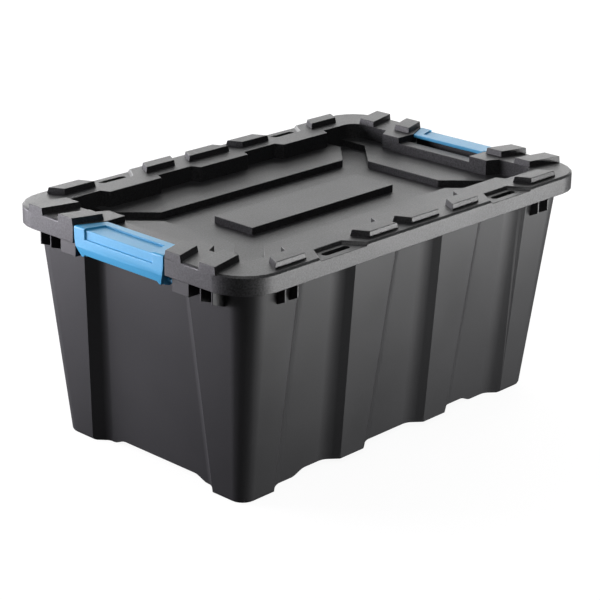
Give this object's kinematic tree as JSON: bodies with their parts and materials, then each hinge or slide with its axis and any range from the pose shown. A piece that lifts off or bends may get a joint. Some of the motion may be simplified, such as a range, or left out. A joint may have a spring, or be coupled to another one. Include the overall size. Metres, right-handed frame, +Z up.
{
  "type": "storage tote",
  "caption": "Rectangular plastic storage tote with drafted, pilastered walls, a lift-off lid with a sunk stacking pan, and a swing latch over each short end.",
  "frame": {"origin": "on the ground under the middle of the base", "axes": "+X along the length, towards the right latch; +Y across the width; +Z up"},
  "size_m": [0.69, 0.449, 0.3367],
  "materials": {
    "charcoal_plastic": "fine spark texture",
    "blue_plastic": "satin"
  },
  "bodies": {
    "tub": {"tub": "charcoal_plastic"},
    "lid": {"lid": "charcoal_plastic"},
    "left_latch": {"left_latch": "blue_plastic"},
    "right_latch": {"right_latch": "blue_plastic"}
  },
  "joints": [
    {"name": "lid_lift", "type": "slide", "parent": "tub", "child": "lid", "axis": [0, 0, 1], "range_m": [0, 0.045]},
    {"name": "left_latch_swing", "type": "hinge", "parent": "tub", "child": "left_latch", "pos_m": [-0.3305, 0, 0.294], "axis": [0, -1, 0], "range_deg": [0, 140]},
    {"name": "right_latch_swing", "type": "hinge", "parent": "tub", "child": "right_latch", "pos_m": [0.3305, 0, 0.294], "axis": [0, 1, 0], "range_deg": [0, 140]}
  ],
  "couplings": [
    {"joint": "left_latch_swing", "follows": "lid_lift", "rad_per_m": 54.2},
    {"joint": "right_latch_swing", "follows": "lid_lift", "rad_per_m": 54.2}
  ]
}
